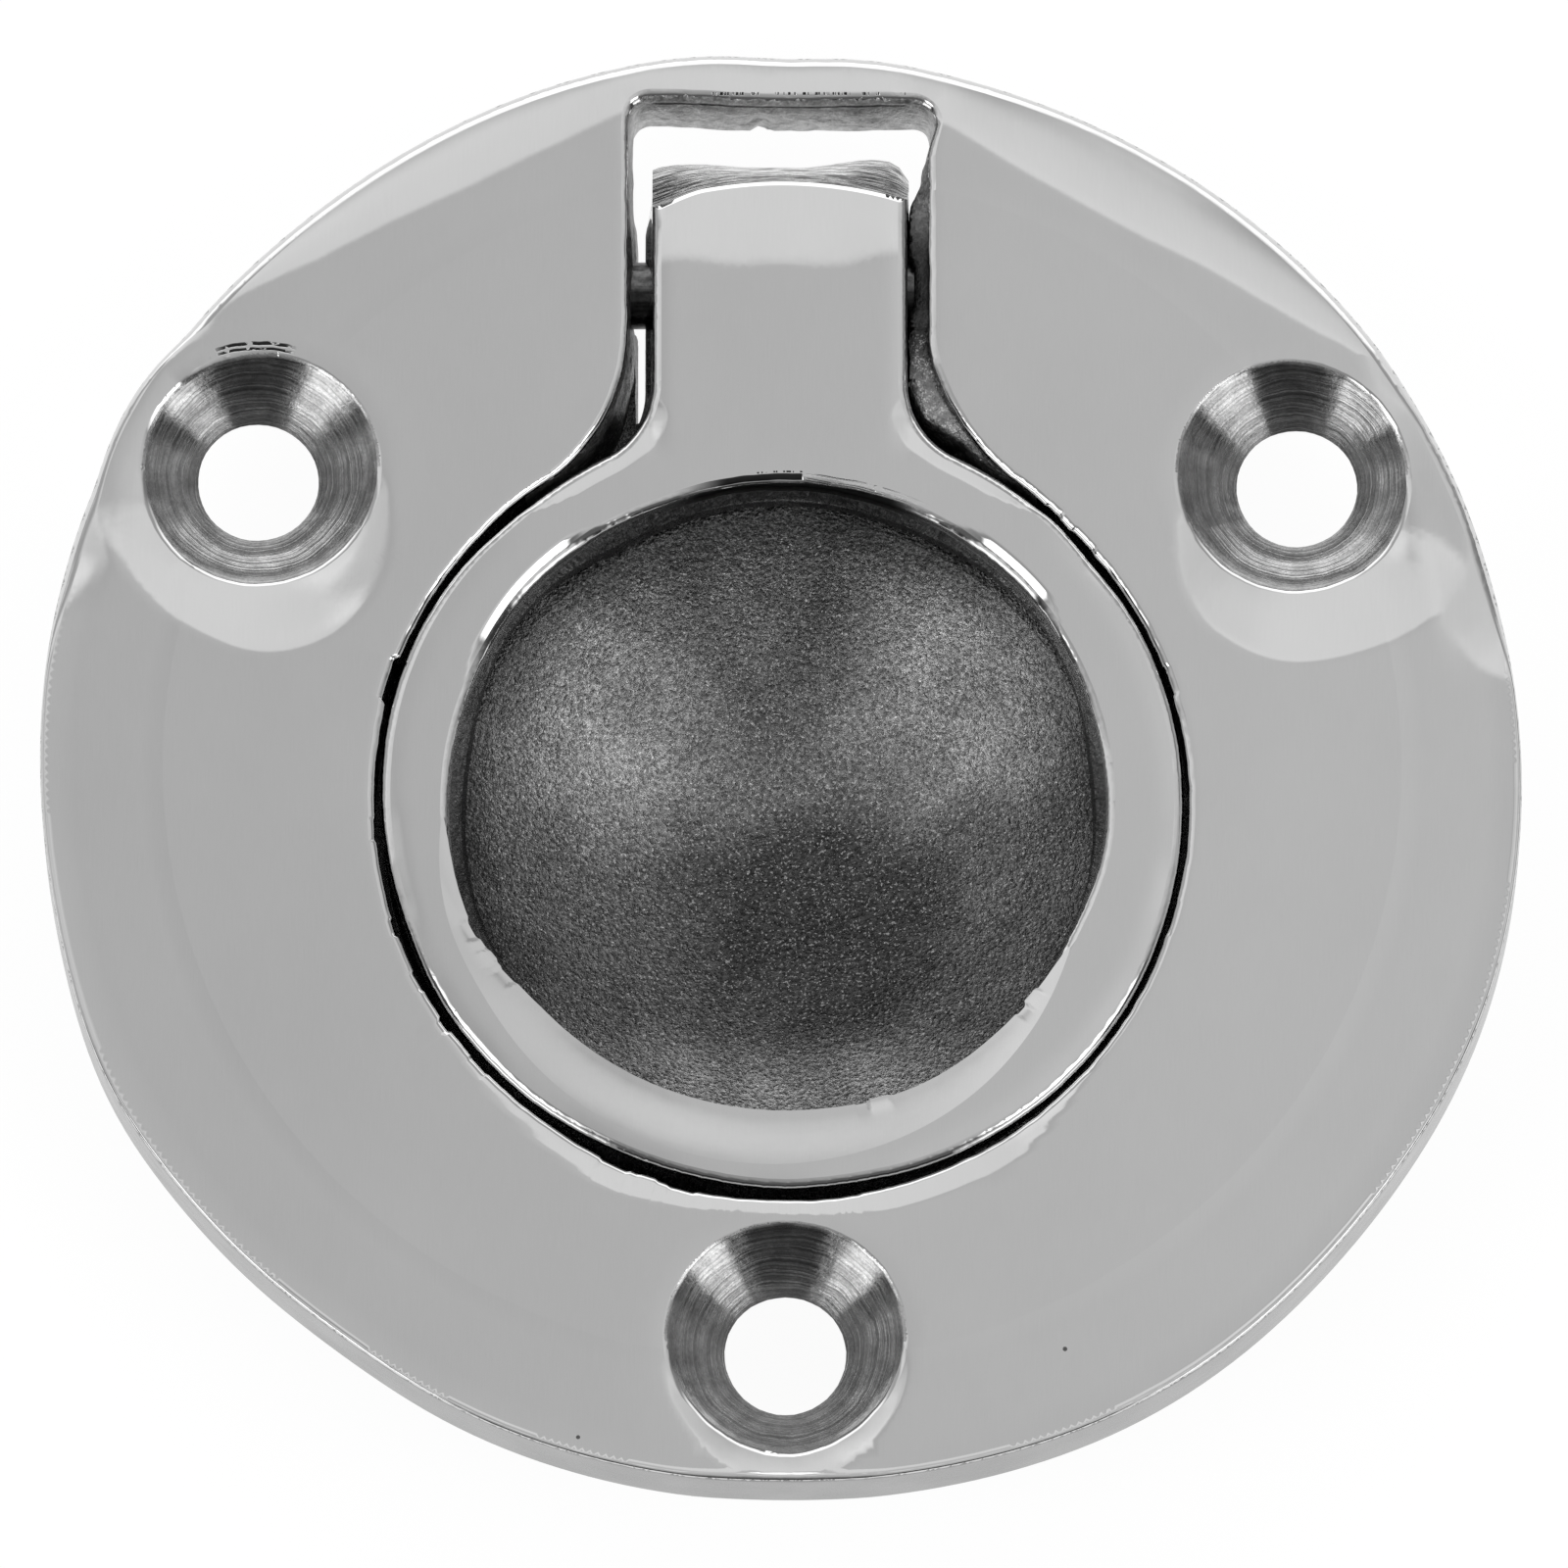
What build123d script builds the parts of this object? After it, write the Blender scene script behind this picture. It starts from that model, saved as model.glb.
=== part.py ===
from build123d import *
import os
from math import hypot, radians, sqrt, tan

os.makedirs("parts", exist_ok=True)

# Round flush ring pull, three pieces: a cast base with a finger cup, a cast ring with its neck and tail, and
# the hinge pin. The origin is the middle of the screw circle on the flat back of the flange. The face looks
# along +Z and the hinge lies toward +Y. All sizes are in millimetres and all angles in degrees.

# Flange. The ring, the screw heads and the lands beside them set its diameter.
flange_thickness = 3.2
crown_drop = 0.25
roll_width = 4.5
rim_height = 2.3
rim_round = 0.6

# Countersunk screw holes, one of them straight below the ring
screw_count = 3
screw_to_rim = 5.25
screw_to_pocket = 1.145
screw_hole_dia = 4.5
screw_head_dia = 8.9
screw_head_angle = 90.0
screw_lip_round = 0.25

# Ring with its neck and tail
ring_dia = 29.75
ring_wall = 2.775
ring_bore_draft = 7.0
ring_thickness = 4.0
ring_below_middle = 1.5
ring_edge_round = 0.35
neck_width = 9.35
shoulder_round = 3.2
tail_reach = 3.9
tail_bevel = 1.65
tail_end_round = 14.2

# Shallow thumb bevel across the far side of the ring, a little to the left
thumb_bevel_past_bore = 0.15
thumb_bevel_angle = 15.5
thumb_bevel_left = 0.45
thumb_bevel_down = 2.1

# Hinge pin
pin_dia = 2.5
pin_above_ring_back = 1.9
pin_chamfer = 0.2
pin_running_clearance = 0.06
pin_seat_clearance = 0.01
pin_end_gap = 0.15
pin_end_wall = 0.75

# Pocket for the ring, and the slot for its neck and tail
ring_side_gap = 0.28
ring_back_gap = 0.1
neck_side_gap = 1.1
tail_end_gap = 1.2
slot_to_rim = 1.8
slot_corner_round = 0.95
slot_draft = 4.0
flare_round = 7.5
pocket_lip_round = 0.25

# Cup behind the flange, with the two ears that carry the pin
cup_wall = 1.5
bowl_depth = 4.35
cup_foot_dia = 15.0
cup_shoulder = 1.0
ear_wall = 3.2
ear_past_pin = 3.2
ear_round = 2.0
ear_root_round = 3.0
pin_mouth_width = 1.9
cast_round = 0.8
root_round = 0.6

# Places and levels in plan and height
ring_r = ring_dia / 2
ring_y = -ring_below_middle
bowl_r = ring_r - ring_wall
pocket_r = ring_r + ring_side_gap
screw_circle_r = pocket_r + ring_below_middle + screw_to_pocket + screw_head_dia / 2
flange_r = screw_circle_r + screw_to_rim
crown_r = flange_r - roll_width
ring_back_z = flange_thickness - ring_thickness
ledge_z = ring_back_z - ring_back_gap
housing_z = ledge_z - cup_wall
housing_r = pocket_r + cup_wall
slot_half = neck_width / 2 + neck_side_gap
slot_end_y = flange_r - slot_to_rim
slot_inset = (flange_thickness - ledge_z) * tan(radians(slot_draft))
tail_sweep_r = hypot(tail_reach + tail_bevel, pin_above_ring_back)
hinge_y = slot_end_y - tail_end_gap - tail_sweep_r
hinge_z = ring_back_z + pin_above_ring_back
tail_top_y = hinge_y + tail_reach
tail_back_y = tail_top_y + tail_bevel
ear_half = slot_half + ear_wall
ear_end_y = hinge_y + ear_past_pin
seat_half = ear_half - pin_end_wall
pin_half = seat_half - pin_end_gap

# The crowned face is part of a large ball, and a countersink meets it a little below its top
crown_ball_r = (crown_r**2 + crown_drop**2) / (2 * crown_drop)
screw_face_drop = crown_drop * (screw_circle_r / crown_r) ** 2
screw_sink_r = screw_head_dia / 2 + screw_face_drop * tan(radians(screw_head_angle / 2))

# The bowl is part of a ball, and the outside of the cup keeps about a wall's thickness from it
bowl_ball_r = (bowl_r**2 + bowl_depth**2) / (2 * bowl_depth)
bowl_ball_z = ledge_z - bowl_depth + bowl_ball_r
shell_ball_r = bowl_ball_r + cup_wall
foot_z = bowl_ball_z - shell_ball_r
shell_top_r = sqrt(shell_ball_r**2 - (bowl_ball_z - housing_z) ** 2) + cup_shoulder

# Cutters run past the solids by this much. A face whose normal rises less than steep is a side wall.
cut_room = 2.0
steep = 0.2


# Stock under the polished face, which is crowned and rolls over near the rim. The base and the ring are
# polished together, so both take their face from it.
with BuildPart() as polished_stock:
    with BuildSketch(Plane.XZ):
        with BuildLine():
            crown = RadiusArc((0, flange_thickness), (crown_r, flange_thickness - crown_drop), crown_ball_r)
            TangentArc(crown @ 1, (flange_r, rim_height), tangent=crown % 1)
            Polyline((flange_r, rim_height), (flange_r, housing_z), (0, housing_z), (0, flange_thickness))
        make_face()
    revolve(axis=Axis.Z)
    rim_edges = polished_stock.edges().group_by(SortBy.LENGTH)[-1]
    fillet(rim_edges.sort_by(Axis.Z)[-1], rim_round)


# Base: flange, cup and ears, cast as one piece
with BuildPart() as base_casting:
    add(polished_stock.part)
    split(bisect_by=Plane.XY, keep=Keep.TOP)

    # Wall of the pocket, and the ears, behind the flange
    with BuildSketch(Plane.XY.offset(housing_z)):
        with Locations((0, ring_y)):
            Circle(housing_r)
        with Locations((0, (ring_y + ear_end_y) / 2)):
            Rectangle(2 * ear_half, ear_end_y - ring_y)
        fillet(vertices().group_by(Axis.Y)[-2], ear_root_round)
        fillet(vertices().group_by(Axis.Y)[-1], ear_round)
    extrude(amount=-housing_z)

    # Round the root of that wall, where it stands on the back of the flange
    roots = base_casting.edges().filter_by_position(Axis.Z, -root_round, root_round)
    fillet(roots - roots.sort_by(SortBy.LENGTH)[-1:], root_round)

    # Outside of the bowl, down to its flat foot
    with BuildSketch(Plane.XZ.offset(-ring_y)):
        with BuildLine():
            RadiusArc((shell_top_r, housing_z), (cup_foot_dia / 2, foot_z), shell_ball_r)
            Polyline((cup_foot_dia / 2, foot_z), (0, foot_z), (0, housing_z), (shell_top_r, housing_z))
        make_face()
    revolve(axis=Axis((0, ring_y, 0), (0, 0, 1)))
    cup_edges = base_casting.edges().filter_by(lambda e: e.bounding_box().max.Z < housing_z + cast_round)
    fillet(cup_edges.filter_by(GeomType.CIRCLE), cast_round)

    # Pocket for the ring, with a flare each side of the neck that runs into the drafted slot
    with BuildSketch(Plane.XY.offset(flange_thickness)):
        with Locations((0, ring_y)):
            Circle(pocket_r)
        with Locations((0, (ring_y + slot_end_y) / 2)):
            Rectangle(2 * slot_half, slot_end_y - ring_y)
        fillet(vertices().group_by(Axis.Y)[-2], flare_round)
        fillet(vertices().group_by(Axis.Y)[-1], slot_corner_round)
    extrude(amount=ledge_z - flange_thickness, taper=slot_draft, mode=Mode.SUBTRACT)
    with BuildSketch(Plane.XY.offset(ledge_z)):
        with Locations((0, ring_y)):
            Circle(pocket_r)
    extrude(amount=flange_thickness - ledge_z, mode=Mode.SUBTRACT)
    side_walls = base_casting.faces().filter_by(lambda f: abs(f.normal_at().Z) < steep)
    fillet(side_walls.edges().filter_by(lambda e: e.bounding_box().min.Z > rim_height), pocket_lip_round)

    # The slot goes on through the back, behind the wall of the cup
    with BuildSketch(Plane.XY.offset(ledge_z)):
        with Locations((0, (ring_y + slot_end_y - slot_inset) / 2)):
            Rectangle(2 * (slot_half - slot_inset), slot_end_y - slot_inset - ring_y)
        fillet(vertices().group_by(Axis.Y)[-1], slot_corner_round - slot_inset)
        with Locations((0, ring_y)):
            Circle(housing_r, mode=Mode.SUBTRACT)
    extrude(amount=housing_z - ledge_z, taper=slot_draft, mode=Mode.SUBTRACT)

    # Bowl for the finger, below the ledge
    with BuildSketch(Plane.XZ.offset(-ring_y)):
        with Locations((0, bowl_ball_z)):
            Circle(bowl_ball_r)
        with Locations((0, ledge_z)):
            Rectangle(bowl_r, bowl_depth, align=(Align.MIN, Align.MAX), mode=Mode.INTERSECT)
    revolve(axis=Axis((0, ring_y, 0), (0, 0, 1)), mode=Mode.SUBTRACT)

    # Seats for the pin, closed at both ends, with the metal of the ears peened over them from the back
    with Locations((0, hinge_y, hinge_z)):
        Cylinder(pin_dia / 2 + pin_seat_clearance, 2 * seat_half, rotation=(0, 90, 0), mode=Mode.SUBTRACT)
    with Locations((0, hinge_y, housing_z)):
        Box(
            2 * seat_half,
            pin_mouth_width,
            hinge_z - housing_z,
            align=(Align.CENTER, Align.CENTER, Align.MIN),
            mode=Mode.SUBTRACT,
        )

    # Screw holes
    with Locations((0, 0, flange_thickness)):
        with PolarLocations(screw_circle_r, screw_count, start_angle=-90):
            CounterSinkHole(screw_hole_dia / 2, screw_sink_r, counter_sink_angle=screw_head_angle)
    sinks = base_casting.faces(Select.LAST).filter_by(GeomType.CONE)
    fillet(sinks.edges().filter_by(lambda e: e.bounding_box().min.Z > rim_height), screw_lip_round)


# Grinding cut that leaves the rounded bevel at the end of the tail
with BuildPart() as tail_grinding:
    tail_lean = tail_bevel / ring_thickness
    with BuildSketch(Plane.XY.offset(ring_back_z - cut_room)):
        with Locations((0, tail_back_y)):
            Rectangle(2 * neck_width, 2 * (tail_back_y - hinge_y) - pin_dia)
    extrude(amount=ring_thickness + 2 * cut_room)
    with Locations((0, tail_top_y - tail_end_round, flange_thickness + cut_room)):
        Cone(
            bottom_radius=tail_end_round + tail_lean * (ring_thickness + cut_room),
            top_radius=tail_end_round - tail_lean * cut_room,
            height=ring_thickness + 2 * cut_room,
            align=(Align.CENTER, Align.CENTER, Align.MAX),
            mode=Mode.SUBTRACT,
        )


# Ring: hoop, neck and tail, cast as one piece
with BuildPart() as pull_ring:
    with BuildSketch(Plane.XY.offset(ring_back_z)):
        with Locations((0, ring_y)):
            Circle(ring_r)
        with Locations((0, (ring_y + tail_back_y) / 2)):
            Rectangle(neck_width, tail_back_y - ring_y)
        fillet(vertices().group_by(Axis.Y)[-2], shoulder_round)
    extrude(amount=ring_thickness)
    add(polished_stock.part, mode=Mode.INTERSECT)

    # Bore of the hoop, a little narrower at the back
    bore_inset = ring_thickness * tan(radians(ring_bore_draft))
    with Locations((0, ring_y, ring_back_z)):
        Cone(
            bottom_radius=bowl_r - bore_inset,
            top_radius=bowl_r,
            height=ring_thickness,
            align=(Align.CENTER, Align.CENTER, Align.MIN),
            mode=Mode.SUBTRACT,
        )

    # Rounded edges all round the face and the back
    side_walls = pull_ring.faces().filter_by(lambda f: abs(f.normal_at().Z) < steep)
    face_edges = side_walls.edges().filter_by(lambda e: e.bounding_box().min.Z > hinge_z)
    back_edges = side_walls.edges().filter_by(lambda e: e.bounding_box().max.Z < hinge_z)
    fillet(face_edges + back_edges, ring_edge_round)

    # End of the tail
    add(tail_grinding.part, mode=Mode.SUBTRACT)

    # Thumb bevel
    bevel_r = bowl_r + thumb_bevel_past_bore
    with Locations((-thumb_bevel_left, ring_y - thumb_bevel_down, flange_thickness)):
        Cone(
            bottom_radius=0,
            top_radius=bevel_r,
            height=bevel_r * tan(radians(thumb_bevel_angle)),
            align=(Align.CENTER, Align.CENTER, Align.MAX),
            mode=Mode.SUBTRACT,
        )

    # Hole for the pin
    with Locations((0, hinge_y, hinge_z)):
        Cylinder(pin_dia / 2 + pin_running_clearance, neck_width, rotation=(0, 90, 0), mode=Mode.SUBTRACT)


# Hinge pin
with BuildPart() as hinge_pin:
    with Locations((0, hinge_y, hinge_z)):
        Cylinder(pin_dia / 2, 2 * pin_half, rotation=(0, 90, 0))
    chamfer(hinge_pin.edges().filter_by(GeomType.CIRCLE), pin_chamfer)


base_casting.part.label = "base_casting"
pull_ring.part.label = "pull_ring"
hinge_pin.part.label = "hinge_pin"
export_step(base_casting.part, "parts/base_casting.step")
export_step(pull_ring.part, "parts/pull_ring.step")
export_step(hinge_pin.part, "parts/hinge_pin.step")
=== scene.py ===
import math

import bpy
import numpy as np
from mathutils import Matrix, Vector


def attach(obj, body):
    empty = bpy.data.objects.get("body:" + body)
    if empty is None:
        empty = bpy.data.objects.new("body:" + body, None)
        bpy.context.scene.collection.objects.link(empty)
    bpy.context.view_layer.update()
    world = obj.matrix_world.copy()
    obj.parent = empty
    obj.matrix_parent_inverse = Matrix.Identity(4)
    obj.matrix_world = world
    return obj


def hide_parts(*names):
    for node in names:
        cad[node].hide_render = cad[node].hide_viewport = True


# The scene works in metres. Lengths below are in millimetres and are scaled as each mesh is written.
MM = 0.001

# What Blender starts with is no part of this scene
for name in ("Cube", "Light", "Camera"):
    if name in bpy.data.objects:
        bpy.data.objects.remove(bpy.data.objects[name])

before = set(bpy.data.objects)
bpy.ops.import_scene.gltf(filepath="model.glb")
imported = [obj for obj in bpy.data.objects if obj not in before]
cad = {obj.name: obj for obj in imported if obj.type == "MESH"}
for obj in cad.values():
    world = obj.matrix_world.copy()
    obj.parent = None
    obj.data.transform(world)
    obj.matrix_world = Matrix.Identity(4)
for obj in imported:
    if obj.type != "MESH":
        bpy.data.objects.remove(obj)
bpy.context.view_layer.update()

# Main places of the part, as the frame has them
RING_Y = -1.5
RING_R = 14.875
BORE_R = 12.1
NECK_HALF = 4.675
HINGE_Y = 18.634
HINGE_Z = 1.1
POCKET_R = 15.155
SLOT_HALF = 5.775
SLOT_END = 25.7
SCREW_R = 22.25
SCREW_ANGLES = (-90, 30, 150)
SINK_R = 4.55
FOOT_Z = -6.75

# A gap that stands for nowhere near
FAR = 99

# The crowned face: its height in the middle, twice the radius of its crown, and where it starts to roll off
TOP_Z = 3.2
CROWN_SPAN = 2116.0
ROLL_R = 23.0

# The meshes: how close points are merged, how often an edge is halved, and the step for a warp's slope
WELD = 0.0005
HALVINGS = 9
SLOPE_STEP = 0.004


# Shapes in numpy


def smooth(a, b, x):
    t = np.clip((x - a) / (b - a), 0, 1)
    return t * t * (3 - 2 * t)


def bump(x, centre, spread):
    return np.exp(-(((x - centre) / spread) ** 2))


def turn_gap(angle, centre):
    """Turn from centre to angle, from -180 to 180 degrees."""
    return (angle - centre + 180) % 360 - 180


def wave(s, seed, *lengths):
    """Smooth wander along s, made of a few sines with the given lengths, about -1 to 1."""
    rng = np.random.default_rng(seed)
    total = np.zeros_like(s)
    for length in lengths:
        total = total + np.sin(2 * np.pi * s / length + rng.uniform(0, 6.28)) * rng.uniform(0.6, 1)
    return total / len(lengths)


def screw_places():
    """Drilled places of the screw holes: bottom, upper right and upper left."""
    return [(SCREW_R * math.cos(math.radians(a)), SCREW_R * math.sin(math.radians(a))) for a in SCREW_ANGLES]


def joined(a, b, k):
    """Gap to two outlines at once, rounded over about k where they meet."""
    h = np.clip(0.5 + 0.5 * (a - b) / k, 0, 1)
    return a * (1 - h) + b * h - k * h * (1 - h)


def pocket_gap(x, y):
    """Distance outwards from the top outline of the pocket and its slot, negative inside it."""
    hoop = np.hypot(x, y - RING_Y) - POCKET_R
    dx = np.abs(x) - SLOT_HALF
    dy = y - SLOT_END
    slot = np.where((dx > 0) & (dy > 0), np.hypot(dx, dy), np.maximum(dx, dy))
    return joined(np.where(y < RING_Y, FAR, slot), hoop, 3.0)


def lattice(i, j, k, seed):
    """The same number from -1 to 1 each time for a point of a whole-number grid."""
    h = (i * 374761393 + j * 668265263 + k * 2147483647 + seed * 144665) & 0xFFFFFFFF
    h = ((h ^ (h >> 13)) * 1274126177) & 0xFFFFFFFF
    h = h ^ (h >> 16)
    return (h & 0xFFFF) / 32767.5 - 1


def noise(x, y, z, size, seed):
    """Smooth noise from -1 to 1 with grains of the given size."""
    p = [np.asarray(c, dtype=float) / size + 57.3 for c in (x, y, z)]
    i = [np.floor(c).astype(np.int64) for c in p]
    f = [c - k for c, k in zip(p, i)]
    w = [c * c * c * (c * (c * 6 - 15) + 10) for c in f]
    total = 0
    for a in (0, 1):
        for b in (0, 1):
            for c in (0, 1):
                share = (w[0] if a else 1 - w[0]) * (w[1] if b else 1 - w[1]) * (w[2] if c else 1 - w[2])
                total = total + share * lattice(i[0] + a, i[1] + b, i[2] + c, seed)
    return total


# Flats and bulges that hand grinding left round the rim: angle, spread in degrees, and millimetres outwards
RIM_WANDER = [
    (60, 26, 0.08), (90, 4.5, -0.20), (106, 24, 0.38), (152, 20, 0.34), (206, 10, 0.30), (233, 9, -0.18),
    (262, 16, 0.02), (300, 17, 0.32), (338, 14, 0.16), (12, 13, -0.15),
]

# Where the lip of the pocket wanders: angle about the ring, and millimetres outwards
LIP_WANDER = [
    (0, -0.07), (20, -0.08), (30, -0.11), (40, -0.18), (50, -0.17), (60, 0.06), (90, 0.10), (120, 0.26),
    (130, 0.08), (140, 0.04), (150, 0.07), (160, 0.10), (170, 0.0), (180, -0.05), (200, -0.06), (210, -0.08),
    (220, -0.12), (230, -0.15), (240, -0.11), (250, 0.0), (260, 0.04), (270, 0.06), (280, 0.10), (290, 0.02),
    (300, 0.07), (315, 0.05), (330, 0.03), (340, -0.07), (350, -0.04),
]

# Nicks in that lip: angle, half length in millimetres, and depth
LIP_NICKS = [
    (162.0, 0.75, 0.15), (184.0, 0.40, 0.05), (198.5, 0.30, 0.08), (207.0, 0.35, 0.06), (214.5, 0.25, 0.09),
    (222.0, 0.40, 0.05), (246.0, 0.50, 0.07), (251.0, 0.30, -0.05), (256.0, 0.45, 0.06), (283.0, 0.50, -0.03),
    (42.0, 0.50, 0.05), (48.0, 0.30, 0.07), (18.0, 0.50, 0.04), (343.0, 0.60, 0.03),
]

# How wide the polishing wheel dipped into the face beside the pocket: angle about the ring, and millimetres
POCKET_DIP = [
    (190, 0.0), (205, 0.20), (216, 0.27), (228, 0.50), (238, 0.88), (246, 1.0), (265, 0.58), (287, 1.05),
    (300, 1.15), (313, 0.40), (325, 0.0),
]

# The same beside each screw sink, bottom, upper right and upper left: angle about the sink, and millimetres
SINK_DIP = [
    [(-178, 0.0), (-162, 0.14), (-146, 0.26), (-120, 0.34), (-90, 0.36), (-60, 0.34), (-29, 0.28),
     (-12, 0.12), (5, 0.0)],
    [(-165, 0.0), (-153, 0.3), (-127, 1.97), (-99, 2.6), (-73, 2.5), (-46, 2.8), (-20, 2.2),
     (0, 1.0), (30, 0.3), (60, 0.0)],
    [(15, 0.0), (-8, 0.15), (-35, 1.1), (-69, 2.15), (-91, 2.25), (-111, 1.75), (-142, 1.6),
     (-170, 1.5), (-200, 0.9), (-240, 0.1), (-300, 0.0)],
]

# How far each sink stands from its drilled place, in millimetres
SINK_SHIFT = [(0.12, 0.08), (-0.09, 0.10), (-0.26, 0.34)]


def sink_places():
    return [(px + sx, py + sy) for (px, py), (sx, sy) in zip(screw_places(), SINK_SHIFT)]


def step_bump(x, half, edge=0.25):
    """One between -half and half, falling off quickly outside."""
    return smooth(-half - edge * half, -half, x) * (1 - smooth(half, half + edge * half, x))


def eased(angle, table, soft=2.5):
    """Value of a table of angles and values, with its corners softened."""
    xs, ys = zip(*sorted((a % 360, v) for a, v in table))
    return sum(np.interp(angle + k * soft, xs, ys, period=360) for k in (-2, -1, 0, 1, 2)) / 5


def shelf(d, a, b):
    """Height lost at d by a slope of one that holds up to a and fades out at b."""
    t = np.clip((d - a) / (b - a), 0, 1)
    return np.clip(a - d, 0, None) + (b - a) * (0.5 - t + t**3 - t**4 / 2)


def crown(r):
    """Height of the crowned face at radius r."""
    return TOP_Z - r**2 / CROWN_SPAN


def cad_face(r):
    """Height of the modelled face at radius r, with its roll, before its edge is rounded."""
    over = np.clip(r - ROLL_R, 0, None)
    return crown(np.minimum(r, ROLL_R)) - 0.0217 * over - 0.02727 * over**2


def polish_dip(x, y):
    """Height that polishing took off the face beside its edges, negative, in millimetres."""
    low = np.zeros_like(x)
    for i, (px, py) in enumerate(screw_places()):
        dx, dy = x - px, y - py
        d = np.hypot(dx, dy) - SINK_R
        at = np.degrees(np.arctan2(dy, dx))
        wide = eased(at, SINK_DIP[i], 4.0) * (1 + 0.07 * noise(x, y, 0, 4.0, 8 + i))
        # the dip beside the bottom sink is narrow and steep, those beside the upper two are broad
        slope, full, early, late = (0.145, 0.35, 0.25, 0.45) if i else (0.30, 0.3, 0.12, 0.2)
        steep = slope * smooth(0.0, full, wide)
        low -= steep * shelf(np.maximum(d, -0.5), wide - early, wide + late)
        low -= 0.03 * shelf(np.maximum(d, -0.4), 0.0, 0.9)
    g = pocket_gap(x, y)
    around = np.degrees(np.arctan2(y - RING_Y, x))
    wide = eased(around, POCKET_DIP, 2.0) * (1 + 0.15 * noise(x, y, 0, 3.5, 15))
    dip = 0.15 * smooth(0.02, 0.22, wide) * shelf(np.maximum(g, -0.4), wide - 0.06, wide + 0.14)
    low -= dip * smooth(4, 0, y)
    return low - 0.05 * shelf(np.maximum(g, -0.4), 0.05, 0.5)


def chords(x, y):
    """Distance past the sides that are ground straight: above the slot, and beside the upper screws."""
    left = (x + 5.82) * -0.449 + (y - 25.2) * 0.893
    right = (x - 5.6) * 0.502 + (y - 25.0) * 0.865
    west = (x + 23.2) * -0.949 + (y - 12.8) * 0.316
    east = (x - 23.1) * 0.969 + (y - 10.5) * 0.248
    return np.maximum(np.maximum(left, right), y - 25.9), west, east


def rim_fall(x, y):
    """Height of the polished face near the rim over the modelled one, with its sides ground off."""
    r = np.hypot(x, y)
    unrolled = crown(r) - cad_face(r)
    past, west, east = chords(x, y)
    past += 0.12 * noise(x, y, 0, 3.4, 91)
    far = smooth(11.0, 16.0, y)
    ground = 0.125 * (past + shelf(past, -0.35, 0.55) - 0.10) * (1 + 0.25 * smooth(0.5, 2.5, past)) * far
    left = 0.17 * (west + shelf(west, -0.5, 0.7) - 0.10) * smooth(5.0, 8.2, y)
    right = 0.17 * (east + shelf(east, -0.5, 0.7) - 0.10) * smooth(2.6, 6.2, y)
    edge = 0.05 * np.clip(r - 26.2, 0, None) ** 2 * far
    return unrolled - np.maximum(ground, np.maximum(left, right)) - edge


def hand_wave(x, y):
    """Slow undulation of the polished face."""
    return 0.005 * noise(x, y, 0, 7.5, 2) + 0.0014 * noise(x, y, 0, 2.9, 3)


def rim_out(phi):
    """How far the rim stands outwards at an angle."""
    out = np.zeros_like(phi)
    for angle, spread, amount in RIM_WANDER:
        out += amount * bump(turn_gap(phi, angle), 0, spread)
    return out


def lip_out(around):
    """How far the pocket's lip stands outwards at an angle about the ring."""
    s = np.radians(around) * POCKET_R
    out = 0.02 * wave(s, 3, 9.0, 4.1, 2.3) + 0.012 * wave(s, 5, 1.3, 0.9) + eased(around, LIP_WANDER)
    for angle, half, amount in LIP_NICKS:
        out += amount * step_bump(np.radians(turn_gap(around, angle)) * POCKET_R, half)
    return out


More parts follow.
